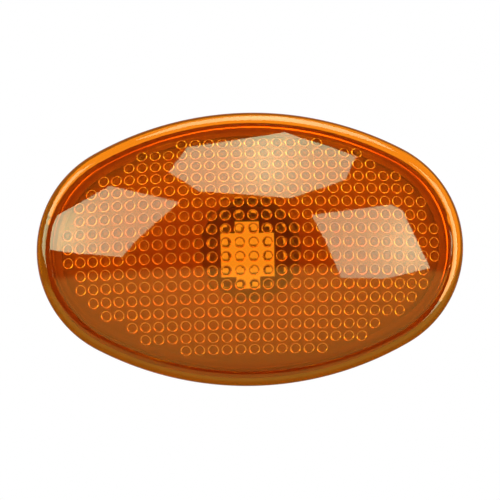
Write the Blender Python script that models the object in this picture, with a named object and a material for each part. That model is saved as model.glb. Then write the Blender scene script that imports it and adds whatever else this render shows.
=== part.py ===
"""Oval amber side marker lamp for a car's front fender.

The lens faces -Y, the lamp's length runs along X and +Z is up.
The origin is the centre of the gasket's rear face, where the lamp meets the body panel.
"""

from math import atan2, cos, pi, radians, sin, sqrt

import bmesh
import bpy
from mathutils import Vector
from mathutils.geometry import delaunay_2d_cdt

MM = 0.001

# Clearance between two pieces that seat on each other
SEAT_GAP = 0.3 * MM
# Length by which solids run into each other before they are joined, or past what they cut
OVERRUN = 0.4 * MM

# Lens: outline of four arcs, a straight skirt, a rounded rim and a dome
LENS_LENGTH = 80.0 * MM
LENS_HEIGHT = 51.4 * MM
LENS_END_RADIUS = 20.8 * MM
LENS_WALL = 2.0 * MM
SKIRT_WALL = 3.4 * MM
SKIRT_DEPTH = 1.0 * MM
RIM_RADIUS = 2.2 * MM
RIM_WIDTH = 2.5 * MM
DOME_HEIGHT = 9.0 * MM
# 1 would be half an ellipsoid; a large value would be a paraboloid
DOME_FULLNESS = 2.03

# Optic dots: low round pads on the lens's inner face, spaced evenly along two arcs
DOT_RADIUS = 1.06 * MM
DOT_HEIGHT = 0.45 * MM
# Width of a dot's broken edge, which stands in for a rounded one
DOT_CHAMFER = 0.25 * MM
DOT_PITCH = 2.526 * MM
DOT_ARC_ALONG = 69.8 * MM
DOT_ARC_UP = 31.3 * MM
# The field is an ellipse that stays this far inside the lens's outline, and clear of its wall
DOT_MARGIN_ALONG = 5.5 * MM
DOT_MARGIN_UP = 5.0 * MM
DOT_WALL_GAP = 0.3 * MM
# The field's middle lies off the lens's own by this much
DOT_SHIFT_ALONG = 0.05 * MM
DOT_SHIFT_UP = 0.21 * MM
DOT_SIDES = 5

# Housing: a plate that closes the lens, with a locating wall and a bulb well behind it
PLATE_THICKNESS = 1.8 * MM
PLATE_INSET = 1.9 * MM
LOCATING_RIB_WIDTH = 1.2 * MM
LOCATING_RIB_HEIGHT = 1.0 * MM
BODY_INSET = 11.0 * MM
BODY_WALL = 1.8 * MM
BODY_DEPTH = 9.3 * MM
WELL_RADIUS = 9.5 * MM
WELL_WALL = 1.8 * MM
WELL_DEPTH = 10.5 * MM
WELL_FLOOR = 2.0 * MM
STIFFENER_WIDTH = 1.6 * MM
STIFFENER_DEPTH = 7.5 * MM

# Gasket between the housing's plate and the body panel
GASKET_THICKNESS = 1.5 * MM
GASKET_OUTER_INSET = 2.8 * MM
GASKET_INNER_INSET = 7.0 * MM

# Fixing in the panel: a fixed hook at one end and a steel spring clip at the other
PANEL_THICKNESS = 1.0 * MM
PANEL_CLEARANCE = 0.2 * MM
HOOK_REACH = 3.7 * MM
HOOK_WIDTH = 12.0 * MM
HOOK_THICKNESS = 2.2 * MM
HOOK_GUSSET_SETBACK = 1.0 * MM
CLIP_PAD_WIDTH = 11.0 * MM
CLIP_PAD_THICKNESS = 2.4 * MM
CLIP_PAD_RISE = 0.6 * MM
CLIP_WIDTH = 7.0 * MM
CLIP_THICKNESS = 0.5 * MM
CLIP_INNER_LEG = 5.5 * MM
CLIP_ROOM = 2.0 * MM
CLIP_BARB_REACH = 2.6 * MM
CLIP_BARB_DEPTH = 2.4 * MM
CLIP_BARB_RAMP = 2.6 * MM
CLIP_BARB_ROUND = 0.4 * MM
CLIP_BEND = 0.6 * MM

# Keyed opening in the well's floor for the bulb holder, and the seat around it
OPENING_WIDTH = 10.35 * MM
OPENING_HEIGHT = 8.55 * MM
KEY_WIDTH = 4.7 * MM
KEY_HEIGHT = 13.1 * MM
COLLAR_DEPTH = 3.6 * MM
SEAL_RIDGE_RADIUS = 7.8 * MM
SEAL_RIDGE_WIDTH = 0.6 * MM
SEAL_RIDGE_HEIGHT = 0.5 * MM
# The holder's grip fits between two pairs of stops inside the collar
STOP_WIDTH = 1.2 * MM
STOP_LENGTH = 0.9 * MM
STOP_ANGLE = radians(38)

# Places along Y, worked out from the panel face backwards and forwards
GASKET_FRONT = -GASKET_THICKNESS
PLATE_REAR = GASKET_FRONT - SEAT_GAP
PLATE_FRONT = PLATE_REAR - PLATE_THICKNESS
SKIRT_REAR = PLATE_FRONT - SEAT_GAP
SKIRT_FRONT = SKIRT_REAR - SKIRT_DEPTH
SHOULDER = SKIRT_FRONT - RIM_RADIUS
BODY_REAR = PLATE_REAR + BODY_DEPTH
CLIP_PAD_REAR = BODY_REAR + CLIP_PAD_RISE
WELL_BOTTOM = PLATE_FRONT + WELL_DEPTH
WELL_REAR = WELL_BOTTOM + WELL_FLOOR
COLLAR_REAR = WELL_REAR + COLLAR_DEPTH

# Points closer than this after a Boolean are one point
MERGE_DISTANCE = 0.002 * MM

ARC_STEPS = 9
ROUND_STEPS = 32


def clear_scene():
    for old in list(bpy.data.objects):
        bpy.data.objects.remove(old)


def material(name, colour, roughness, metallic=0.0, transmission=0.0):
    """A Principled material in the piece's own colour."""
    new = bpy.data.materials.new(name)
    new.use_nodes = True
    shader = new.node_tree.nodes["Principled BSDF"]
    shader.inputs["Base Color"].default_value = (*colour, 1.0)
    shader.inputs["Roughness"].default_value = roughness
    shader.inputs["Metallic"].default_value = metallic
    shader.inputs["Transmission Weight"].default_value = transmission
    new.diffuse_color = (*colour, 1.0)
    return new


def object_from(name, mesh_data, look=None, smooth_angle=35):
    """Recalculate the faces outwards and put the mesh in the scene."""
    bmesh.ops.recalc_face_normals(mesh_data, faces=mesh_data.faces)
    mesh = bpy.data.meshes.new(name)
    mesh_data.to_mesh(mesh)
    mesh_data.free()
    mesh.shade_smooth()
    mesh.set_sharp_from_angle(angle=radians(smooth_angle))
    new = bpy.data.objects.new(name, mesh)
    if look:
        mesh.materials.append(look)
    bpy.context.scene.collection.objects.link(new)
    return new


def combine(target, tool, operation):
    """Join the tool to the target, or cut it away, and drop the tool."""
    boolean = target.modifiers.new("Combine", 'BOOLEAN')
    boolean.operation = operation
    boolean.solver = 'EXACT'
    boolean.object = tool
    depsgraph = bpy.context.evaluated_depsgraph_get()
    mesh = bpy.data.meshes.new_from_object(target.evaluated_get(depsgraph))
    target.modifiers.clear()
    form = bmesh.new()
    form.from_mesh(mesh)
    bmesh.ops.remove_doubles(form, verts=form.verts, dist=MERGE_DISTANCE)
    bmesh.ops.dissolve_degenerate(form, edges=form.edges, dist=MERGE_DISTANCE)
    form.to_mesh(mesh)
    form.free()
    target.data = mesh
    bpy.data.objects.remove(tool)


def join(target, *tools):
    for tool in tools:
        combine(target, tool, 'UNION')


def cut(target, *tools):
    for tool in tools:
        combine(target, tool, 'DIFFERENCE')


def oval_arcs():
    """The outline's end arcs' centre along X, its side arcs' centre and radius, and where they meet."""
    half_height = LENS_HEIGHT / 2
    end_centre = LENS_LENGTH / 2 - LENS_END_RADIUS
    rise = half_height - LENS_END_RADIUS
    side_radius = (end_centre ** 2 + half_height ** 2 - LENS_END_RADIUS ** 2) / (2 * rise)
    side_centre = half_height - side_radius
    return end_centre, side_centre, side_radius, atan2(-side_centre, end_centre)


def depth_inside(x, z):
    """How far a point lies inside the lens's outline."""
    end_centre, side_centre, side_radius, _ = oval_arcs()
    from_end = Vector((abs(x) - end_centre, abs(z)))
    from_side = Vector((abs(x), abs(z) - side_centre))
    if from_end.x > 0 and from_side.y * end_centre < -side_centre * from_side.x:
        return LENS_END_RADIUS - from_end.length
    return side_radius - from_side.length


def oval(inset=0.0, steps=ARC_STEPS):
    """The lens's outline moved inwards: four arcs that share their tangents, as (x, z) points."""
    half_height = LENS_HEIGHT / 2
    end_centre, side_centre, side_radius, meeting = oval_arcs()
    points = []
    for turn in range(4):
        ends_left = turn in (1, 2)
        below = turn in (2, 3)
        quarter = []
        for step in range(steps):
            angle = meeting * step / steps
            radius = LENS_END_RADIUS - inset
            quarter.append((end_centre + radius * cos(angle), radius * sin(angle)))
        for step in range(steps):
            angle = meeting + (pi / 2 - meeting) * step / steps
            radius = side_radius - inset
            quarter.append((radius * cos(angle), side_centre + radius * sin(angle)))
        quarter.append((0.0, half_height - inset))
        if ends_left:
            quarter = [(-x, z) for x, z in quarter]
        if below:
            quarter = [(x, -z) for x, z in quarter]
        if turn in (1, 3):
            quarter.reverse()
        points.extend(quarter[:-1])
    return points


def rounded_slab(outline, front, rear):
    """A closed slab between two planes across Y."""
    form = bmesh.new()
    face = form.faces.new([form.verts.new((x, front, z)) for x, z in outline])
    raised = bmesh.ops.extrude_face_region(form, geom=[face])["geom"]
    moved = [item for item in raised if isinstance(item, bmesh.types.BMVert)]
    bmesh.ops.translate(form, verts=moved, vec=(0.0, rear - front, 0.0))
    return form


def ring_slab(outer, inner, front, rear):
    """A closed ring between two planes, from two outlines with as many points each."""
    form = bmesh.new()
    loops = [
        [form.verts.new((x, y, z)) for x, z in outline]
        for outline, y in ((outer, front), (inner, front), (inner, rear), (outer, rear))
    ]
    count = len(outer)
    for first, second in zip(loops, loops[1:] + loops[:1]):
        for i in range(count):
            j = (i + 1) % count
            form.faces.new((first[i], first[j], second[j], second[i]))
    return form


def circle(radius, steps=ROUND_STEPS, centre_x=0.0, centre_z=0.0):
    return [
        (centre_x + radius * cos(2 * pi * i / steps), centre_z + radius * sin(2 * pi * i / steps))
        for i in range(steps)
    ]


def rectangle(left, right, bottom, top):
    return [(left, bottom), (right, bottom), (right, top), (left, top)]


def centred(width, height):
    return rectangle(-width / 2, width / 2, -height / 2, height / 2)


def sector(inner, outer, middle, spread, steps=5):
    """A piece of a ring, as an outline."""
    angles = [middle - spread / 2 + spread * i / (steps - 1) for i in range(steps)]
    far = [(outer * cos(a), outer * sin(a)) for a in angles]
    near = [(inner * cos(a), inner * sin(a)) for a in reversed(angles)]
    return far + near


def slab(outline, front, rear, name="Tool"):
    return object_from(name, rounded_slab(outline, front, rear))


def strip(name, path, thickness, low, high, place, look):
    """A bent sheet strip: a centre line thickened to both sides and extruded.

    place(u, v, w) puts the line's two coordinates and the extrusion's into space.
    """
    sides = ([], [])
    for i, (u, v) in enumerate(path):
        before = path[max(i - 1, 0)]
        after = path[min(i + 1, len(path) - 1)]
        here = Vector((u, v))
        into = (here - Vector(before)).normalized() if i else None
        out = (Vector(after) - here).normalized() if i < len(path) - 1 else None
        into = into or out
        out = out or into
        normal = (Vector((-into.y, into.x)) + Vector((-out.y, out.x))).normalized()
        stretch = 1 / max(normal.dot(Vector((-into.y, into.x))), 0.4)
        for side, sign in zip(sides, (1, -1)):
            side.append(here + normal * (sign * stretch * thickness / 2))
    section = sides[0] + sides[1][::-1]
    form = bmesh.new()
    ends = [[form.verts.new(place(p.x, p.y, w)) for p in section] for w in (low, high)]
    count = len(section)
    for i in range(count):
        j = (i + 1) % count
        form.faces.new((ends[0][i], ends[0][j], ends[1][j], ends[1][i]))
    line = len(path)
    for end in ends:
        for i in range(line - 1):
            form.faces.new((end[i], end[i + 1], end[count - 2 - i], end[count - 1 - i]))
    return object_from(name, form, look)


class Dome:
    """The lens's outer dome: a smooth cap over the outline inside the rim."""

    def __init__(self):
        self.half_length = LENS_LENGTH / 2 - RIM_WIDTH
        self.half_height = LENS_HEIGHT / 2 - RIM_WIDTH
        corner_x, corner_z = oval(RIM_WIDTH)[ARC_STEPS]
        u = (corner_x / self.half_length) ** 2
        v = (corner_z / self.half_height) ** 2
        self.squareness = (u + v - 1) / (u * v)
        self.rim_root = sqrt(DOME_FULLNESS - 1)
        self.apex_root = sqrt(DOME_FULLNESS)

    def level(self, x, z):
        """0 at the apex and 1 on the rim."""
        u = (x / self.half_length) ** 2
        v = (z / self.half_height) ** 2
        return u + v - self.squareness * u * v

    def outer(self, x, z):
        level = min(self.level(x, z), 1.0)
        share = (sqrt(DOME_FULLNESS - level) - self.rim_root) / (self.apex_root - self.rim_root)
        return SHOULDER - DOME_HEIGHT * share

    def slopes(self, x, z):
        step = 0.02 * MM
        inwards = 1 - 2 * step / LENS_HEIGHT
        x, z = x * inwards, z * inwards
        along = (self.outer(x + step, z) - self.outer(x - step, z)) / (2 * step)
        up = (self.outer(x, z + step) - self.outer(x, z - step)) / (2 * step)
        return along, up

    def inner(self, x, z):
        """The inner face lies one wall thickness inside, measured square to the dome."""
        along, up = self.slopes(x, z)
        return self.outer(x, z) + LENS_WALL * sqrt(1 + along ** 2 + up ** 2)

    def inward_axes(self, x, z):
        """Two directions along the inner face and the one that points into the lamp."""
        along, up = self.slopes(x, z)
        normal = Vector((-along, 1.0, -up)).normalized()
        across = Vector((1.0, along, 0.0)).normalized()
        return across, across.cross(normal), normal


def dot_places():
    """Centres of the optic dots that lie inside the oval field, as (x, z)."""
    half_length = LENS_LENGTH / 2 - DOT_MARGIN_ALONG
    half_height = LENS_HEIGHT / 2 - DOT_MARGIN_UP
    columns = int(2 * half_length / DOT_PITCH)
    rows = int(2 * half_height / DOT_PITCH)
    places = []
    for row in range(-rows, rows + 1):
        up_angle = (row * DOT_PITCH + DOT_SHIFT_UP) / DOT_ARC_UP
        if abs(up_angle) > pi / 2:
            continue
        z = DOT_ARC_UP * sin(up_angle)
        for column in range(-columns, columns + 1):
            along_angle = (column * DOT_PITCH + DOT_SHIFT_ALONG) / DOT_ARC_ALONG
            if abs(along_angle) > pi / 2:
                continue
            x = DOT_ARC_ALONG * sin(along_angle)
            along = (x - DOT_SHIFT_ALONG) / half_length
            up = (z - DOT_SHIFT_UP) / half_height
            clear = depth_inside(x, z) > SKIRT_WALL + DOT_WALL_GAP + DOT_RADIUS
            if clear and along ** 2 + up ** 2 <= 1:
                places.append((x, z))
    return places


def add_loop(form, outline, depth):
    """A loop of points; depth is one value or a function of x and z."""
    return [form.verts.new((x, depth(x, z) if callable(depth) else depth, z)) for x, z in outline]


def bridge(form, first, second):
    count = len(first)
    for i in range(count):
        j = (i + 1) % count
        form.faces.new((first[i], first[j], second[j], second[i]))


def lens_outside(form, dome):
    """The skirt, the rounded rim and the dome, from the rear edge to the apex."""
    loops = [add_loop(form, oval(), SKIRT_REAR), add_loop(form, oval(), SKIRT_FRONT)]
    rim_steps = 4
    for step in range(1, rim_steps + 1):
        angle = pi / 2 * step / rim_steps
        inset = RIM_RADIUS * (1 - cos(angle))
        loops.append(add_loop(form, oval(inset), SKIRT_FRONT - RIM_RADIUS * sin(angle)))
    base = oval(RIM_WIDTH)
    loops.append(add_loop(form, base, SHOULDER))
    for share in (0.93, 0.84, 0.72, 0.58, 0.42, 0.24):
        loops.append(add_loop(form, [(x * share, z * share) for x, z in base], dome.outer))
    for first, second in zip(loops, loops[1:]):
        bridge(form, first, second)
    apex = form.verts.new((0.0, dome.outer(0.0, 0.0), 0.0))
    last = loops[-1]
    for i, vert in enumerate(last):
        form.faces.new((vert, last[(i + 1) % len(last)], apex))
    return loops[0]


def dot_ring(dome, x, z, radius, lift):
    """One ring of a dot, lifted off the inner face and square to it."""
    across, upwards, normal = dome.inward_axes(x, z)
    centre = Vector((x, dome.inner(x, z), z))
    ring = []
    for side in range(DOT_SIDES):
        angle = 2 * pi * (side + 0.5) / DOT_SIDES
        out = across * cos(angle) + upwards * sin(angle)
        ring.append(centre + out * radius + normal * lift)
    return ring


def lens_inside(form, dome):
    """The skirt's inner wall and the inner face with its field of dots."""
    wall = oval(SKIRT_WALL)
    rear_loop = add_loop(form, wall, SKIRT_REAR)
    front_loop = add_loop(form, wall, dome.inner)
    bridge(form, rear_loop, front_loop)

    places = dot_places()
    plane = [Vector(point) for point in wall]
    edge_count = len(wall)
    polygons = [list(range(edge_count))]
    for x, z in places:
        first = len(plane)
        plane += [Vector((p.x, p.z)) for p in dot_ring(dome, x, z, DOT_RADIUS, 0.0)]
        polygons.append(list(range(first, first + DOT_SIDES)))
    points, _, triangles, origins, _, sources = delaunay_2d_cdt(plane, [], polygons, 1, 1e-7)

    verts = []
    for point, source in zip(points, origins):
        on_edge = [i for i in source if i < edge_count]
        if on_edge:
            verts.append(front_loop[on_edge[0]])
        else:
            verts.append(form.verts.new((point.x, dome.inner(point.x, point.y), point.y)))
    for triangle, source in zip(triangles, sources):
        if all(polygon == 0 for polygon in source):
            form.faces.new([verts[i] for i in triangle])

    place_of = {}
    for new_index, source in enumerate(origins):
        for old_index in source:
            place_of[old_index] = verts[new_index]
    for polygon, (x, z) in zip(polygons[1:], places):
        base = [place_of[i] for i in polygon]
        top = dot_ring(dome, x, z, DOT_RADIUS - DOT_CHAMFER, DOT_HEIGHT)
        crown = [form.verts.new(p) for p in top]
        bridge(form, base, crown)
        form.faces.new(crown)
    return rear_loop


def make_lens(look):
    dome = Dome()
    form = bmesh.new()
    outer_edge = lens_outside(form, dome)
    inner_edge = lens_inside(form, dome)
    bridge(form, outer_edge, inner_edge)
    return object_from("lens", form, look)


def make_housing(look):
    housing = object_from("housing", rounded_slab(oval(PLATE_INSET), PLATE_FRONT, PLATE_REAR), look)
    rib_outer = SKIRT_WALL + SEAT_GAP
    rib = ring_slab(oval(rib_outer), oval(rib_outer + LOCATING_RIB_WIDTH),
                    PLATE_FRONT - LOCATING_RIB_HEIGHT, PLATE_FRONT + OVERRUN)
    body = ring_slab(oval(BODY_INSET), oval(BODY_INSET + BODY_WALL), PLATE_REAR - OVERRUN, BODY_REAR)
    join(housing, object_from("Rib", rib), object_from("Body", body))
    join(housing, slab(circle(WELL_RADIUS + WELL_WALL), PLATE_REAR - OVERRUN, COLLAR_REAR))

    body_length = LENS_LENGTH - 2 * BODY_INSET
    body_height = LENS_HEIGHT - 2 * BODY_INSET
    stiffener_rear = PLATE_REAR + STIFFENER_DEPTH
    inside = 2 * BODY_WALL - 2 * OVERRUN
    clip_side = clip_pad_inner(body_length / 2) - CLIP_THICKNESS - CLIP_ROOM
    along = rectangle(inside / 2 - body_length / 2, clip_side, -STIFFENER_WIDTH / 2, STIFFENER_WIDTH / 2)
    upright = centred(STIFFENER_WIDTH, body_height - inside)
    join(housing, slab(along, PLATE_REAR - OVERRUN, stiffener_rear))
    join(housing, slab(upright, PLATE_REAR - OVERRUN, stiffener_rear))
    add_hook(housing, body_length / 2)
    add_clip_pad(housing, body_length / 2)
    open_well(housing)
    return housing


def open_well(housing):
    """The bulb well, the keyed opening in its floor and the bulb holder's seat behind it."""
    cut(housing, slab(circle(WELL_RADIUS), PLATE_FRONT - OVERRUN, WELL_BOTTOM))
    cut(housing, slab(circle(WELL_RADIUS), WELL_REAR, COLLAR_REAR + OVERRUN))
    ridge = ring_slab(circle(SEAL_RIDGE_RADIUS + SEAL_RIDGE_WIDTH), circle(SEAL_RIDGE_RADIUS),
                      WELL_REAR - OVERRUN, WELL_REAR + SEAL_RIDGE_HEIGHT)
    join(housing, object_from("Ridge", ridge))
    for side in (0, pi):
        for turn in (-STOP_ANGLE, STOP_ANGLE):
            stop = sector(WELL_RADIUS - STOP_LENGTH, WELL_RADIUS + WELL_WALL / 2, side + turn,
                          STOP_WIDTH / WELL_RADIUS)
            join(housing, slab(stop, WELL_REAR - OVERRUN, COLLAR_REAR - OVERRUN))
    for opening in (centred(OPENING_WIDTH, OPENING_HEIGHT), centred(KEY_WIDTH, KEY_HEIGHT)):
        cut(housing, slab(opening, WELL_BOTTOM - OVERRUN, WELL_REAR + OVERRUN))


def add_hook(housing, body_end):
    """A fixed tongue that goes behind the panel's edge."""
    front = PANEL_THICKNESS + PANEL_CLEARANCE
    tongue = rectangle(-body_end - HOOK_REACH, -body_end + BODY_WALL, -HOOK_WIDTH / 2, HOOK_WIDTH / 2)
    join(housing, slab(tongue, front, front + HOOK_THICKNESS))
    gusset = [
        (-body_end - HOOK_REACH + HOOK_GUSSET_SETBACK, front + HOOK_THICKNESS - OVERRUN),
        (-body_end + BODY_WALL / 2, front + HOOK_THICKNESS - OVERRUN),
        (-body_end + BODY_WALL / 2, BODY_REAR - HOOK_GUSSET_SETBACK),
    ]
    for side in (-1, 1):
        middle = side * HOOK_WIDTH / 4
        form = bmesh.new()
        face = form.faces.new([form.verts.new((x, y, middle - BODY_WALL / 2)) for x, y in gusset])
        raised = bmesh.ops.extrude_face_region(form, geom=[face])["geom"]
        moved = [item for item in raised if isinstance(item, bmesh.types.BMVert)]
        bmesh.ops.translate(form, verts=moved, vec=(0.0, 0.0, BODY_WALL))
        join(housing, object_from("Gusset", form))


def add_clip_pad(housing, body_end):
    """The flat stretch of the wall that carries the spring clip, flattened inside too."""
    inner = clip_pad_inner(body_end)
    pad = rectangle(inner - CLIP_ROOM / 2, clip_pad_outer(body_end),
                    -CLIP_PAD_WIDTH / 2, CLIP_PAD_WIDTH / 2)
    join(housing, slab(pad, PLATE_REAR - OVERRUN, CLIP_PAD_REAR))
    half_seat = CLIP_WIDTH / 2 + 2 * SEAT_GAP
    seat = rectangle(inner - CLIP_ROOM, inner, -half_seat, half_seat)
    cut(housing, slab(seat, CLIP_PAD_REAR - CLIP_INNER_LEG - SEAT_GAP, CLIP_PAD_REAR + OVERRUN))


def clip_pad_outer(body_end):
    return body_end + OVERRUN


def clip_pad_inner(body_end):
    return clip_pad_outer(body_end) - CLIP_PAD_THICKNESS


def make_gasket(look):
    form = ring_slab(oval(GASKET_OUTER_INSET), oval(GASKET_INNER_INSET), GASKET_FRONT, 0.0)
    return object_from("panel_gasket", form, look)


def make_spring_clip(look):
    """A steel strip folded over the rear edge of the wall, with a barb behind the panel."""
    body_end = LENS_LENGTH / 2 - BODY_INSET
    stand_off = SEAT_GAP + CLIP_THICKNESS / 2
    inner = clip_pad_inner(body_end) - stand_off
    outer = clip_pad_outer(body_end) + stand_off
    rear = CLIP_PAD_REAR + stand_off
    barb = PANEL_THICKNESS + CLIP_BARB_DEPTH
    path = [
        (inner, rear - CLIP_INNER_LEG),
        (inner, rear - CLIP_BEND),
        (inner + CLIP_BEND, rear),
        (outer - CLIP_BEND, rear),
        (outer, rear - CLIP_BEND),
        (outer, barb + CLIP_BARB_RAMP),
        (outer + CLIP_BARB_REACH - CLIP_BARB_ROUND, barb + CLIP_BARB_ROUND),
        (outer + CLIP_BARB_REACH, barb),
        (outer + CLIP_BARB_REACH - CLIP_BARB_ROUND, barb - CLIP_BARB_ROUND),
        (outer + SEAT_GAP, PANEL_THICKNESS),
    ]
    return strip("spring_clip", path, CLIP_THICKNESS, -CLIP_WIDTH / 2, CLIP_WIDTH / 2,
                 lambda x, y, z: (x, y, z), look)


def build():
    clear_scene()
    amber = material("amber_acrylic", (0.80, 0.20, 0.005), 0.05, transmission=0.9)
    grey = material("grey_abs", (0.36, 0.36, 0.35), 0.45)
    foam = material("black_foam", (0.02, 0.02, 0.02), 0.9)
    steel = material("spring_steel", (0.55, 0.54, 0.52), 0.3, metallic=1.0)

    make_lens(amber)
    make_housing(grey)
    make_gasket(foam)
    make_spring_clip(steel)


build()
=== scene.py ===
"""Looks of the oval amber side marker lamp: fine lens optics, finishes, light and camera.

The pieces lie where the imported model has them. The lens faces -Y and +Z is up.
"""

from math import atan2, cos, pi, radians, sin, sqrt

import bmesh
import bpy
from mathutils import Matrix, Vector
from mathutils.geometry import delaunay_2d_cdt


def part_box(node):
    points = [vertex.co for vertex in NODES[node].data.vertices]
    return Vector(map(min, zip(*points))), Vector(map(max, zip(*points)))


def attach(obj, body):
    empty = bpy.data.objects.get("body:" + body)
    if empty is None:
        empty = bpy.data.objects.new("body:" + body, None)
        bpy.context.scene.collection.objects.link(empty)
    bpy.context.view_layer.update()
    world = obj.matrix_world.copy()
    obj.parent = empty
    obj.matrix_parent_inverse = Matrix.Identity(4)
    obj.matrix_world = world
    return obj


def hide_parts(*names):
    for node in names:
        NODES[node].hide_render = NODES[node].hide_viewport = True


MM = 0.001

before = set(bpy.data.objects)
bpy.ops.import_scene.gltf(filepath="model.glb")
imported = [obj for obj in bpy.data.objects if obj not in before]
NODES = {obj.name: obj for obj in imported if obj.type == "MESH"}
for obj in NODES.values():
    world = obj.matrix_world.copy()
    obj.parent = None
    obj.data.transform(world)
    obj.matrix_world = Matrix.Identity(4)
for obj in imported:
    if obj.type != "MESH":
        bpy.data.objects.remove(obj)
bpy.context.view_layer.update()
LENS_LOW, LENS_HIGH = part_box("lens")

# Lens form, as the construction model has it
LENS_LENGTH = LENS_HIGH.x - LENS_LOW.x
LENS_HEIGHT = LENS_HIGH.z - LENS_LOW.z
SKIRT_REAR = LENS_HIGH.y
DOME_TIP = LENS_LOW.y
LENS_END_RADIUS = 20.8 * MM
LENS_WALL = 2.0 * MM
SKIRT_WALL = 3.4 * MM
RIM_RADIUS = 2.2 * MM
RIM_WIDTH = 2.5 * MM
DOME_HEIGHT = 9.0 * MM
DOME_FULLNESS = 2.03
# The dome's rule is followed this far past its rim, where its level is 1
DOME_LEVEL_LIMIT = 1.3
SHOULDER = DOME_TIP + DOME_HEIGHT
SKIRT_FRONT = SHOULDER + RIM_RADIUS

# Optic dots on the lens's inner face: round pads with a steep rounded edge and a nib in the
# middle, as rings of radius and height from the foot up
DOT_RADIUS = 1.03 * MM
DOT_PROFILE = (
    (DOT_RADIUS, 0.0),
    (0.98 * MM, 0.22 * MM),
    (0.87 * MM, 0.42 * MM),
    (0.71 * MM, 0.52 * MM),
    (0.30 * MM, 0.52 * MM),
)
DOT_TIP = 0.57 * MM
DOT_PITCH = 2.526 * MM
DOT_ARC_ALONG = 69.8 * MM
DOT_ARC_UP = 31.3 * MM
DOT_MARGIN_ALONG = 5.5 * MM
DOT_MARGIN_UP = 5.0 * MM
DOT_SHIFT_ALONG = 0.05 * MM
DOT_SHIFT_UP = 0.21 * MM

# How finely the lens is meshed
ARC_STEPS = 22
DOME_RINGS = 44
RIM_STEPS = 10
DOT_SIDES = 14
# The dome's slope is taken over this much to either side of a place
SLOPE_STEP = 0.02 * MM
# Rings of extra points between the skirt's wall and the dots, by their distance from the wall
INNER_FACE_RINGS = (0.4 * MM, 0.9 * MM, 1.6 * MM)

# Triangulation: only what lies inside the outlines, with tolerances in metres and in pixels
INSIDES_ONLY = 1
LENS_TOLERANCE = 1e-7
SOFTBOX_TOLERANCE = 1e-6

# Finish of the pieces
MERGE_DISTANCE = 0.002 * MM
FLAT_ANGLE = radians(1.0)
SMOOTH_ANGLE = radians(35)
EDGE_ANGLE = radians(40)
EDGE_SEGMENTS = 2
HOUSING_EDGE = 0.25 * MM
GASKET_EDGE = 0.2 * MM
CLIP_EDGE = 0.08 * MM

# The photograph: its side in pixels, a pixel's width at the lens, and where the lens's
# outline is centred
IMAGE_SIDE = 500
PIXEL_WIDTH = 0.18757 * MM
LENS_PIXEL = (250.65, 248.8)
CAMERA_DISTANCE = 450.0 * MM
CAMERA_AZIMUTH = radians(-2.92)
CAMERA_ELEVATION = radians(-5.59)
CAMERA_ROLL = radians(1.43)
CAMERA_NEAR = 10.0 * MM
SENSOR_WIDTH = 36.0


def oval(inset=0.0, steps=ARC_STEPS):
    """The lens's outline moved inwards: four arcs that share their tangents, as (x, z) points."""
    half_length = LENS_LENGTH / 2
    half_height = LENS_HEIGHT / 2
    end_centre = half_length - LENS_END_RADIUS
    rise = half_height - LENS_END_RADIUS
    side_radius = (end_centre ** 2 + half_height ** 2 - LENS_END_RADIUS ** 2) / (2 * rise)
    side_centre = half_height - side_radius
    meeting = atan2(-side_centre, end_centre)
    points = []
    for turn in range(4):
        quarter = []
        for step in range(steps):
            angle = meeting * step / steps
            radius = LENS_END_RADIUS - inset
            quarter.append((end_centre + radius * cos(angle), radius * sin(angle)))
        for step in range(steps):
            angle = meeting + (pi / 2 - meeting) * step / steps
            radius = side_radius - inset
            quarter.append((radius * cos(angle), side_centre + radius * sin(angle)))
        quarter.append((0.0, half_height - inset))
        if turn in (1, 2):
            quarter = [(-x, z) for x, z in quarter]
        if turn in (2, 3):
            quarter = [(x, -z) for x, z in quarter]
        if turn in (1, 3):
            quarter.reverse()
        points.extend(quarter[:-1])
    return points


class Dome:
    """The lens's outer dome: a smooth cap over the outline inside the rim."""

    def __init__(self):
        self.half_length = LENS_LENGTH / 2 - RIM_WIDTH
        self.half_height = LENS_HEIGHT / 2 - RIM_WIDTH
        corner_x, corner_z = oval(RIM_WIDTH)[ARC_STEPS]
        u = (corner_x / self.half_length) ** 2
        v = (corner_z / self.half_height) ** 2
        self.squareness = (u + v - 1) / (u * v)
        self.rim_root = sqrt(DOME_FULLNESS - 1)
        self.apex_root = sqrt(DOME_FULLNESS)

    def level(self, x, z):
        """0 at the apex and 1 on the rim."""
        u = (x / self.half_length) ** 2
        v = (z / self.half_height) ** 2
        return u + v - self.squareness * u * v

    def outer(self, x, z):
        level = min(self.level(x, z), DOME_LEVEL_LIMIT)
        share = (sqrt(DOME_FULLNESS - level) - self.rim_root) / (self.apex_root - self.rim_root)
        return SHOULDER - DOME_HEIGHT * share

    def slopes(self, x, z):
        """How fast the outer dome runs back along X and Z."""
        step = SLOPE_STEP
        inwards = 1 - 2 * step / LENS_HEIGHT
        x, z = x * inwards, z * inwards
        along = (self.outer(x + step, z) - self.outer(x - step, z)) / (2 * step)
        up = (self.outer(x, z + step) - self.outer(x, z - step)) / (2 * step)
        return along, up

    def inner(self, x, z):
        """The inner face lies one wall thickness inside, measured square to the dome."""
        along, up = self.slopes(x, z)
        return self.outer(x, z) + LENS_WALL * sqrt(1 + along ** 2 + up ** 2)

    def inward_axes(self, x, z):
        """Two directions along the inner face, square to each other."""
        along, up = self.slopes(x, z)
        normal = Vector((-along, 1.0, -up)).normalized()
        across = Vector((1.0, along, 0.0)).normalized()
        return across, across.cross(normal)


def new_object(name, form, look):
    mesh = bpy.data.meshes.new(name)
    form.to_mesh(mesh)
    form.free()
    mesh.materials.append(look)
    new = bpy.data.objects.new(name, mesh)
    bpy.context.scene.collection.objects.link(new)
    return new


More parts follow.
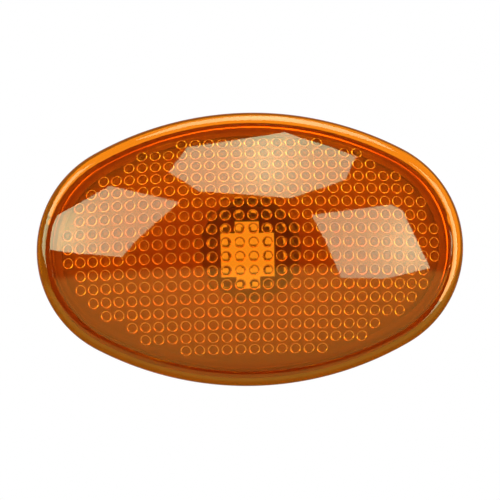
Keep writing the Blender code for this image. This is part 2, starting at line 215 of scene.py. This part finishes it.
def smooth_piece(name, form, look):
    """A piece with its faces turned outwards, smooth but for its sharp edges."""
    bmesh.ops.recalc_face_normals(form, faces=form.faces)
    piece = new_object(name, form, look)
    piece.data.shade_smooth()
    piece.data.set_sharp_from_angle(angle=SMOOTH_ANGLE)
    return piece


def loop_edges(form, loop):
    pairs = zip(loop, loop[1:] + loop[:1])
    return [form.edges.get(pair) or form.edges.new(pair) for pair in pairs]


def extrude_loop(form, loop, outline, depth):
    """Pull a closed loop of points on to an outline; depth is one value or a function of x and z."""
    pulled = bmesh.ops.extrude_edge_only(form, edges=loop_edges(form, loop))["geom"]
    fresh = {item for item in pulled if isinstance(item, bmesh.types.BMVert)}
    following = []
    for vert, (x, z) in zip(loop, outline):
        new = next(edge.other_vert(vert) for edge in vert.link_edges if edge.other_vert(vert) in fresh)
        new.co = (x, depth(x, z) if callable(depth) else depth, z)
        following.append(new)
    return following


def close_with_point(form, loop, place):
    cap = bmesh.ops.edgeloop_fill(form, edges=loop_edges(form, loop))["faces"]
    tip = bmesh.ops.poke(form, faces=cap)["verts"][0]
    tip.co = place


def drop_stray_points(form):
    stray = [vert for vert in form.verts if not vert.link_faces]
    bmesh.ops.delete(form, geom=stray, context='VERTS')


# Lens

def on_arc(index, arc, shift):
    """Where the index-th dot lies, spaced evenly along an arc through the middle."""
    return arc * sin((index * DOT_PITCH + shift) / arc)


def lattice(offset):
    """Points of the dots' lattice inside its oval field; an offset of a half gives the gaps."""
    half_length = LENS_LENGTH / 2 - DOT_MARGIN_ALONG
    half_height = LENS_HEIGHT / 2 - DOT_MARGIN_UP
    columns = int(half_length / DOT_PITCH) + 1
    rows = int(half_height / DOT_PITCH) + 1
    for row in range(-rows, rows + 1):
        z = on_arc(row + offset, DOT_ARC_UP, DOT_SHIFT_UP)
        for column in range(-columns, columns + 1):
            x = on_arc(column + offset, DOT_ARC_ALONG, DOT_SHIFT_ALONG)
            along = (x - DOT_SHIFT_ALONG) / half_length
            up = (z - DOT_SHIFT_UP) / half_height
            if along ** 2 + up ** 2 <= 1:
                yield x, z


def lens_outside(form, dome, edge):
    """The skirt, the rim and the dome, pulled forwards from the skirt's rear edge."""
    loop = extrude_loop(form, edge, oval(), SKIRT_FRONT)
    for step in range(1, RIM_STEPS + 1):
        angle = pi / 2 * step / RIM_STEPS
        inset = RIM_RADIUS * (1 - cos(angle))
        loop = extrude_loop(form, loop, oval(inset), SKIRT_FRONT - RIM_RADIUS * sin(angle))
    base = oval(RIM_WIDTH)
    loop = extrude_loop(form, loop, base, SHOULDER)
    for ring in range(1, DOME_RINGS):
        share = cos(pi / 2 * ring / DOME_RINGS)
        loop = extrude_loop(form, loop, [(x * share, z * share) for x, z in base], dome.outer)
    close_with_point(form, loop, (0.0, dome.outer(0.0, 0.0), 0.0))


def dot_foot(dome, x, z):
    """The foot of a dot, square to the inner face."""
    across, upwards = dome.inward_axes(x, z)
    centre = Vector((x, dome.inner(x, z), z))
    ring = []
    for side in range(DOT_SIDES):
        turn = 2 * pi * side / DOT_SIDES
        out = across * cos(turn) + upwards * sin(turn)
        ring.append(centre + out * DOT_RADIUS)
    return ring


def raise_dots(form, dots):
    """Each dot rises from its foot in the steps of its profile and ends in a low point."""
    for dot in dots:
        dot.normal_update()
        if dot.normal.y < 0:
            dot.normal_flip()
    for (radius, lift), (next_radius, next_lift) in zip(DOT_PROFILE, DOT_PROFILE[1:]):
        narrowing = (radius - next_radius) * cos(pi / DOT_SIDES)
        bmesh.ops.inset_individual(form, faces=dots, thickness=narrowing, depth=next_lift - lift,
                                   use_even_offset=True)
    bmesh.ops.poke(form, faces=dots, offset=DOT_TIP - DOT_PROFILE[-1][1])


def lens_inside(form, dome, edge):
    """The skirt's inner wall and the inner face with its field of dots."""
    wall = oval(SKIRT_WALL)
    rear_loop = extrude_loop(form, edge, wall, SKIRT_REAR)
    front_loop = extrude_loop(form, rear_loop, wall, dome.inner)

    places = list(lattice(0.0))
    plane = [Vector(point) for point in wall]
    for distance in INNER_FACE_RINGS:
        plane += [Vector(point) for point in oval(SKIRT_WALL + distance, ARC_STEPS // 2)]
    plane += [Vector(point) for point in lattice(0.5)]
    edge_count = len(wall)
    polygons = [list(range(edge_count))]
    for x, z in places:
        first = len(plane)
        plane += [Vector((p.x, p.z)) for p in dot_foot(dome, x, z)]
        polygons.append(list(range(first, first + DOT_SIDES)))
    points, _, triangles, origins, _, sources = delaunay_2d_cdt(
        plane, [], polygons, INSIDES_ONLY, LENS_TOLERANCE)

    verts = []
    place_of = {}
    for point, source in zip(points, origins):
        on_edge = [i for i in source if i < edge_count]
        if on_edge:
            vert = front_loop[on_edge[0]]
        else:
            vert = form.verts.new((point.x, dome.inner(point.x, point.y), point.y))
        verts.append(vert)
        for index in source:
            place_of[index] = vert
    for triangle, source in zip(triangles, sources):
        if all(polygon == 0 for polygon in source):
            form.faces.new([verts[i] for i in triangle])

    raise_dots(form, [form.faces.new([place_of[i] for i in polygon]) for polygon in polygons[1:]])
    drop_stray_points(form)


def make_lens(look):
    dome = Dome()
    form = bmesh.new()
    edge = [form.verts.new((x, SKIRT_REAR, z)) for x, z in oval()]
    lens_outside(form, dome, edge)
    lens_inside(form, dome, edge)
    lens = smooth_piece("lens_fine", form, look)
    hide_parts("lens")
    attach(lens, "root")


# Materials

# Colours here and below are linear, with their opacity last
WHITE = (1.0, 1.0, 1.0, 1.0)
# What the surfaces of one lens wall leave of white light; the amber inside absorbs
# (1 - AMBER_TINT) * AMBER_DENSITY per metre besides
AMBER_COLOUR = (0.86, 0.232, 0.007, 1.0)
AMBER_TINT = (0.9, 0.5, 0.3, 1.0)
AMBER_DENSITY = 10.0
AMBER_IOR = 1.49
GREY_COLOUR = (0.36, 0.36, 0.35, 1.0)
GREY_IOR = 1.5
FOAM_COLOUR = (0.025, 0.025, 0.026, 1.0)
FOAM_ROUGHNESS = 0.95
FOAM_PORE_SCALE = 1600.0
FOAM_PORE_DEPTH = 0.12 * MM
FOAM_PORE_STRENGTH = 0.8
ZINC_COLOUR = (0.62, 0.61, 0.58, 1.0)
ZINC_ROUGHNESS = (0.21, 0.42)
STREAK_SCALE = 1400.0
STREAK_STRETCH = (1.0, 0.08, 1.0)
STREAK_DETAIL = 2.0

# How the two moulded plastics vary over their surfaces
AMBER_SURFACE = {
    "Relief Scale": 110.0,
    "Relief Detail": 1.0,
    "Relief Fineness": 0.5,
    "Relief Height": 0.04 * MM,
    "Haze Scale": 500.0,
    "Haze Detail": 3.0,
    "Least Roughness": 0.0,
    "Most Roughness": 0.05,
}
GREY_SURFACE = {
    "Relief Scale": 900.0,
    "Relief Detail": 3.0,
    "Relief Fineness": 0.6,
    "Relief Height": 0.02 * MM,
    "Haze Scale": 60.0,
    "Haze Detail": 2.0,
    "Least Roughness": 0.44,
    "Most Roughness": 0.56,
}
# Most of a noise texture's values lie between these two
NOISE_LOW = 0.3
NOISE_HIGH = 0.7


def set_sockets(new, values):
    """Set a node's sockets; a keyword's underscores stand for the spaces in a socket's name."""
    for name, value in values.items():
        new.inputs[name.replace("_", " ")].default_value = value


def node(tree, kind, **values):
    new = tree.nodes.new(kind)
    set_sockets(new, values)
    return new


def link(tree, source, target):
    tree.links.new(source, target)


def new_material(name, **values):
    """A material with some of its shader's sockets set."""
    material = bpy.data.materials.new(name)
    material.use_nodes = True
    tree = material.node_tree
    shader = tree.nodes["Principled BSDF"]
    set_sockets(shader, values)
    return material, tree, shader


def noise_range(tree, noise, low, high):
    """Spread a noise texture over a range; low and high are values or sockets."""
    ramp = node(tree, 'ShaderNodeMapRange', From_Min=NOISE_LOW, From_Max=NOISE_HIGH)
    link(tree, noise.outputs["Fac"], ramp.inputs["Value"])
    for name, end in (("To Min", low), ("To Max", high)):
        if isinstance(end, bpy.types.NodeSocket):
            link(tree, end, ramp.inputs[name])
        else:
            ramp.inputs[name].default_value = end
    return ramp.outputs["Result"]


def moulded_surface_group():
    """A moulded surface: faint relief as a normal, and a roughness that wanders a little."""
    group = bpy.data.node_groups.new("moulded_surface", 'ShaderNodeTree')
    for name, value in GREY_SURFACE.items():
        socket = group.interface.new_socket(name, in_out='INPUT', socket_type='NodeSocketFloat')
        socket.default_value = value
    group.interface.new_socket("Normal", in_out='OUTPUT', socket_type='NodeSocketVector')
    group.interface.new_socket("Roughness", in_out='OUTPUT', socket_type='NodeSocketFloat')
    enter = group.nodes.new('NodeGroupInput')
    leave = group.nodes.new('NodeGroupOutput')
    place = group.nodes.new('ShaderNodeTexCoord')
    relief = group.nodes.new('ShaderNodeTexNoise')
    haze = group.nodes.new('ShaderNodeTexNoise')
    bump = node(group, 'ShaderNodeBump', Strength=1.0)
    link(group, place.outputs["Object"], relief.inputs["Vector"])
    link(group, place.outputs["Object"], haze.inputs["Vector"])
    link(group, enter.outputs["Relief Scale"], relief.inputs["Scale"])
    link(group, enter.outputs["Relief Detail"], relief.inputs["Detail"])
    link(group, enter.outputs["Relief Fineness"], relief.inputs["Roughness"])
    link(group, enter.outputs["Relief Height"], bump.inputs["Distance"])
    link(group, relief.outputs["Fac"], bump.inputs["Height"])
    link(group, enter.outputs["Haze Scale"], haze.inputs["Scale"])
    link(group, enter.outputs["Haze Detail"], haze.inputs["Detail"])
    roughness = noise_range(group, haze, enter.outputs["Least Roughness"],
                            enter.outputs["Most Roughness"])
    link(group, bump.outputs["Normal"], leave.inputs["Normal"])
    link(group, roughness, leave.inputs["Roughness"])
    return group


def give_surface(tree, shader, group, values):
    use = tree.nodes.new('ShaderNodeGroup')
    use.node_tree = group
    set_sockets(use, values)
    link(tree, use.outputs["Normal"], shader.inputs["Normal"])
    link(tree, use.outputs["Roughness"], shader.inputs["Roughness"])


def amber_acrylic(surface):
    """Clear acrylic dyed amber, very slightly wavy, with a trace of haze."""
    material, tree, shader = new_material("amber_acrylic", Base_Color=AMBER_COLOUR, IOR=AMBER_IOR,
                                          Transmission_Weight=1.0)
    give_surface(tree, shader, surface, AMBER_SURFACE)
    absorb = node(tree, 'ShaderNodeVolumeAbsorption', Color=AMBER_TINT, Density=AMBER_DENSITY)
    link(tree, absorb.outputs["Volume"], tree.nodes["Material Output"].inputs["Volume"])
    return material


def grey_abs(surface):
    """Satin plastic with faint grain."""
    material, tree, shader = new_material("grey_abs", Base_Color=GREY_COLOUR, IOR=GREY_IOR)
    give_surface(tree, shader, surface, GREY_SURFACE)
    return material


def zinc_steel():
    """Zinc-plated strip with fine streaks along it."""
    material, tree, shader = new_material("zinc_steel", Base_Color=ZINC_COLOUR, Metallic=1.0)
    place = tree.nodes.new('ShaderNodeTexCoord')
    stretch = node(tree, 'ShaderNodeMapping', Scale=STREAK_STRETCH)
    streaks = node(tree, 'ShaderNodeTexNoise', Scale=STREAK_SCALE, Detail=STREAK_DETAIL)
    link(tree, place.outputs["Object"], stretch.inputs["Vector"])
    link(tree, stretch.outputs["Vector"], streaks.inputs["Vector"])
    link(tree, noise_range(tree, streaks, *ZINC_ROUGHNESS), shader.inputs["Roughness"])
    return material


def black_foam():
    """Closed-cell foam: small round pores."""
    material, tree, shader = new_material("black_foam", Base_Color=FOAM_COLOUR,
                                          Roughness=FOAM_ROUGHNESS)
    place = tree.nodes.new('ShaderNodeTexCoord')
    pores = node(tree, 'ShaderNodeTexVoronoi', Scale=FOAM_PORE_SCALE)
    bump = node(tree, 'ShaderNodeBump', Strength=FOAM_PORE_STRENGTH, Distance=FOAM_PORE_DEPTH)
    link(tree, place.outputs["Object"], pores.inputs["Vector"])
    link(tree, pores.outputs["Distance"], bump.inputs["Height"])
    link(tree, bump.outputs["Normal"], shader.inputs["Normal"])
    return material


# Housing, gasket and clip

def softened(name, look, edge_radius):
    """A copy of a node with its flat faces whole again and its edges rounded."""
    form = bmesh.new()
    form.from_mesh(NODES[name].data)
    bmesh.ops.remove_doubles(form, verts=form.verts, dist=MERGE_DISTANCE)
    bmesh.ops.dissolve_limit(form, angle_limit=FLAT_ANGLE, verts=form.verts, edges=form.edges)
    piece = smooth_piece(name + "_fine", form, look)
    bevel = piece.modifiers.new("Edges", 'BEVEL')
    bevel.width = edge_radius
    bevel.segments = EDGE_SEGMENTS
    bevel.limit_method = 'ANGLE'
    bevel.angle_limit = EDGE_ANGLE
    bevel.harden_normals = True
    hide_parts(name)
    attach(piece, "root")


# Camera, light and surroundings

def camera_axes():
    azimuth, elevation = CAMERA_AZIMUTH, CAMERA_ELEVATION
    forward = Vector((-sin(azimuth) * cos(elevation), cos(azimuth) * cos(elevation), -sin(elevation)))
    level = Vector((cos(azimuth), sin(azimuth), 0.0))
    upright = level.cross(forward)
    right = level * cos(CAMERA_ROLL) - upright * sin(CAMERA_ROLL)
    up = level * sin(CAMERA_ROLL) + upright * cos(CAMERA_ROLL)
    return right, up, forward


def lens_middle():
    return Vector((0.0, (SKIRT_REAR + SKIRT_FRONT) / 2, 0.0))


def camera_place():
    """Where the camera stands so that the lens's middle falls on its pixel."""
    right, up, forward = camera_axes()
    aim = lens_middle()
    aim -= right * ((LENS_PIXEL[0] - IMAGE_SIDE / 2) * PIXEL_WIDTH)
    aim += up * ((LENS_PIXEL[1] - IMAGE_SIDE / 2) * PIXEL_WIDTH)
    return aim - forward * CAMERA_DISTANCE


def make_camera():
    right, up, forward = camera_axes()
    data = bpy.data.cameras.new("camera")
    data.sensor_width = SENSOR_WIDTH
    data.lens = SENSOR_WIDTH * CAMERA_DISTANCE / (IMAGE_SIDE * PIXEL_WIDTH)
    data.clip_start = CAMERA_NEAR
    camera = bpy.data.objects.new("camera", data)
    camera.location = camera_place()
    turn = [[right[i], up[i], -forward[i]] for i in range(3)]
    camera.rotation_euler = Matrix(turn).to_euler()
    bpy.context.scene.collection.objects.link(camera)
    bpy.context.scene.camera = camera


# Where a ray's search for the dome starts, in front of the lens's middle, and how often it is
# corrected
MIRROR_START = 15.0 * MM
MIRROR_STEPS = 20


def reflected(dome, pixel):
    """The way a ray from the camera through a pixel goes after it meets the outer dome."""
    right, up, forward = camera_axes()
    x = (pixel[0] - IMAGE_SIDE / 2) * PIXEL_WIDTH
    y = (IMAGE_SIDE / 2 - pixel[1]) * PIXEL_WIDTH
    ray = (forward * CAMERA_DISTANCE + right * x + up * y).normalized()
    place = camera_place() + ray * (CAMERA_DISTANCE - MIRROR_START)
    for _ in range(MIRROR_STEPS):
        place += ray * ((dome.outer(place.x, place.z) - place.y) / ray.y)
    along, upwards = dome.slopes(place.x, place.z)
    normal = Vector((along, -1.0, upwards)).normalized()
    return place, ray - normal * (2 * ray.dot(normal))


# Outlines of the softboxes as the dome mirrors them, and their brightest places, in pixels of
# the photograph
SOFTBOXES = {
    "softbox_top": ((168, 172), (188, 147), (285, 132), (357, 156), (347, 180), (290, 198), (200, 191)),
    "softbox_left": ((44, 248), (57, 215), (110, 186), (179, 202), (136, 240), (122, 257), (60, 252)),
    "softbox_right": ((311, 215), (390, 204), (403, 210), (430, 268), (385, 278), (340, 278), (325, 240)),
}
BRIGHTEST = {"softbox_top": (268, 163), "softbox_left": (62, 235), "softbox_right": (412, 245)}
# Both in pixels: how far the brightest place reaches, and the spacing of a softbox's points
BRIGHT_REACH = 45.0
SOFTBOX_GRID = 6
SOFTBOX_DISTANCE = 0.7
# A pale green, which the red of the amber behind it turns to cream
SOFTBOX_COLOUR = (0.74, 1.0, 0.62, 1.0)
SOFTBOX_STRENGTH = 5.6
SOFTBOX_PEAK = 9.5


def softbox_points(outline):
    """The outline's edge in short steps, and a grid of points over the outline."""
    edge = []
    for (x, y), (next_x, next_y) in zip(outline, outline[1:] + outline[:1]):
        across = next_x - x
        down = next_y - y
        steps = max(1, round(sqrt(across ** 2 + down ** 2) / SOFTBOX_GRID))
        edge += [Vector((x + across * step / steps, y + down * step / steps)) for step in range(steps)]
    columns = range(min(x for x, _ in outline), max(x for x, _ in outline), SOFTBOX_GRID)
    rows = range(min(y for _, y in outline), max(y for _, y in outline), SOFTBOX_GRID)
    return edge, [Vector((x, y)) for x in columns for y in rows]


def softbox_form(dome, outline, brightest):
    """A softbox's curved face, with its brightness at every point."""
    edge, grid = softbox_points(outline)
    border = list(range(len(edge)))
    points, _, triangles, _, _, _ = delaunay_2d_cdt(
        edge + grid, [], [border], INSIDES_ONLY, SOFTBOX_TOLERANCE)
    form = bmesh.new()
    brightness = form.verts.layers.float.new("brightness")
    verts = []
    for point in points:
        place, ray = reflected(dome, point)
        vert = form.verts.new(place + ray * SOFTBOX_DISTANCE)
        away = (point - Vector(brightest)).length / BRIGHT_REACH
        vert[brightness] = SOFTBOX_STRENGTH + (SOFTBOX_PEAK - SOFTBOX_STRENGTH) / (1 + away ** 2) ** 2
        verts.append(vert)
    for triangle in triangles:
        form.faces.new([verts[i] for i in triangle])
    drop_stray_points(form)
    return form


def make_softboxes():
    """Each softbox stands where the dome mirrors it to its place in the photograph."""
    dome = Dome()
    look = diffuser()
    for name, outline in SOFTBOXES.items():
        form = softbox_form(dome, outline, BRIGHTEST[name])
        card = new_object(name, form, look)
        card.visible_camera = False
        card.visible_shadow = False
        card.visible_diffuse = False


def diffuser():
    """A softbox's glowing cloth; its brightness lies in the mesh."""
    material, tree, shader = new_material("diffuser")
    tree.nodes.remove(shader)
    shine = node(tree, 'ShaderNodeEmission', Color=SOFTBOX_COLOUR)
    strength = tree.nodes.new('ShaderNodeAttribute')
    strength.attribute_name = "brightness"
    link(tree, strength.outputs["Fac"], shine.inputs["Strength"])
    link(tree, shine.outputs["Emission"], tree.nodes["Material Output"].inputs["Surface"])
    return material


# The world's brightness. Matt surfaces are lit by one open sky.
OPEN_LIGHT = 1.15
# Seen through the clear plastic: the backdrop, dimmer away from square behind the lamp and
# with only a share of its light above its edge; the light in front of the lamp, dimmer around
# the camera; and what comes on top from above
BACKDROP_STRAIGHT = 1.15
BACKDROP_TILTED = 1.0
BACKDROP_TOP_SHARE = 0.15
FRONT_LIGHT = 1.7
AROUND_CAMERA = 0.3
FROM_ABOVE = 0.8
# Mirrored by the dome: a dark room and a warm table
DARK_FRONT = 0.02
DARK_BACK = 0.3
TABLE_BACK = 0.08
TABLE_COLOUR = (1.3, 1.2, 0.22, 1.0)

# Where the world's brightness changes, as ranges of a direction's Y or Z
FRONT_TO_BACK = (-0.2, 0.2)
CAMERA_EDGE = (-0.9, -0.75)
SQUARE_BEHIND = (0.93, 0.985)
BACKDROP_EDGE = (0.12, 0.24)
OVERHEAD = (0.3, 0.8)
ROOM_DEPTH = (0.4, 0.9)
TABLE_DEPTH = (-0.4, 0.1)
TABLE_EDGE = (-0.22, -0.14)


def make_world():
    """Plain white to the camera, an open sky for matt surfaces, a bright studio seen through
    clear plastic, and a dark room with a warm table for the dome's own reflection."""
    world = bpy.data.worlds.new("studio")
    bpy.context.scene.world = world
    world.use_nodes = True
    tree = world.node_tree
    tree.nodes.clear()
    leave = tree.nodes.new('ShaderNodeOutputWorld')
    place = tree.nodes.new('ShaderNodeTexCoord')
    split = tree.nodes.new('ShaderNodeSeparateXYZ')
    link(tree, place.outputs["Generated"], split.inputs["Vector"])

    def spread(source, reach, first, last):
        ramp = node(tree, 'ShaderNodeMapRange', From_Min=reach[0], From_Max=reach[1],
                    To_Min=first, To_Max=last)
        ramp.interpolation_type = 'SMOOTHSTEP'
        link(tree, split.outputs[source], ramp.inputs["Value"])
        return ramp.outputs["Result"]

    def background(colour=WHITE, strength=1.0):
        return node(tree, 'ShaderNodeBackground', Color=colour, Strength=strength)

    def choose(factor, first, second):
        mix = tree.nodes.new('ShaderNodeMixShader')
        link(tree, factor, mix.inputs["Fac"])
        link(tree, first, mix.inputs[1])
        link(tree, second, mix.inputs[2])
        return mix.outputs["Shader"]

    rays = tree.nodes.new('ShaderNodeLightPath')
    open_sky = background(strength=OPEN_LIGHT).outputs["Background"]
    through = background()
    backdrop = tree.nodes.new('ShaderNodeMath')
    backdrop.operation = 'MULTIPLY'
    link(tree, spread("Y", SQUARE_BEHIND, BACKDROP_TILTED, BACKDROP_STRAIGHT), backdrop.inputs[0])
    link(tree, spread("Z", BACKDROP_EDGE, 1.0, BACKDROP_TOP_SHARE), backdrop.inputs[1])
    around = tree.nodes.new('ShaderNodeMix')
    link(tree, spread("Y", FRONT_TO_BACK, 0.0, 1.0), around.inputs["Factor"])
    link(tree, spread("Y", CAMERA_EDGE, AROUND_CAMERA, FRONT_LIGHT), around.inputs["A"])
    link(tree, backdrop.outputs["Value"], around.inputs["B"])
    total = tree.nodes.new('ShaderNodeMath')
    link(tree, around.outputs["Result"], total.inputs[0])
    link(tree, spread("Z", OVERHEAD, 0.0, FROM_ABOVE), total.inputs[1])
    link(tree, total.outputs["Value"], through.inputs["Strength"])
    room = background()
    link(tree, spread("Y", ROOM_DEPTH, DARK_FRONT, DARK_BACK), room.inputs["Strength"])
    table = background(TABLE_COLOUR)
    link(tree, spread("Y", TABLE_DEPTH, 1.0, TABLE_BACK), table.inputs["Strength"])
    mirrored = choose(spread("Z", TABLE_EDGE, 1.0, 0.0), room.outputs["Background"],
                      table.outputs["Background"])
    studio = choose(rays.outputs["Is Glossy Ray"], open_sky, mirrored)
    studio = choose(rays.outputs["Is Transmission Ray"], studio, through.outputs["Background"])
    studio = choose(rays.outputs["Is Camera Ray"], studio, background().outputs["Background"])
    link(tree, studio, leave.inputs["Surface"])


FLOOR_RADIUS = 0.6
FLOOR_HEIGHT = -0.1
FLOOR_SIDES = 96
FLOOR_COLOUR = (0.92, 0.92, 0.92, 1.0)
FLOOR_ROUGHNESS = 0.9


def make_floor():
    form = bmesh.new()
    bmesh.ops.create_circle(form, cap_ends=True, segments=FLOOR_SIDES, radius=FLOOR_RADIUS)
    look, _, _ = new_material("floor_white", Base_Color=FLOOR_COLOUR, Roughness=FLOOR_ROUGHNESS)
    floor = new_object("floor", form, look)
    floor.location = (0.0, 0.0, FLOOR_HEIGHT)
    floor.visible_glossy = False


def make_pieces():
    surface = moulded_surface_group()
    make_lens(amber_acrylic(surface))
    softened("housing", grey_abs(surface), HOUSING_EDGE)
    softened("panel_gasket", black_foam(), GASKET_EDGE)
    softened("spring_clip", zinc_steel(), CLIP_EDGE)


# How many surfaces light may pass, and how often it may be mirrored
SURFACES_PASSED = 32
TIMES_MIRRORED = 16


def finish_scene():
    scene = bpy.context.scene
    scene.view_settings.view_transform = 'Standard'
    scene.cycles.max_bounces = SURFACES_PASSED
    scene.cycles.glossy_bounces = TIMES_MIRRORED
    scene.cycles.transmission_bounces = SURFACES_PASSED


make_pieces()
make_camera()
make_softboxes()
make_world()
make_floor()
finish_scene()
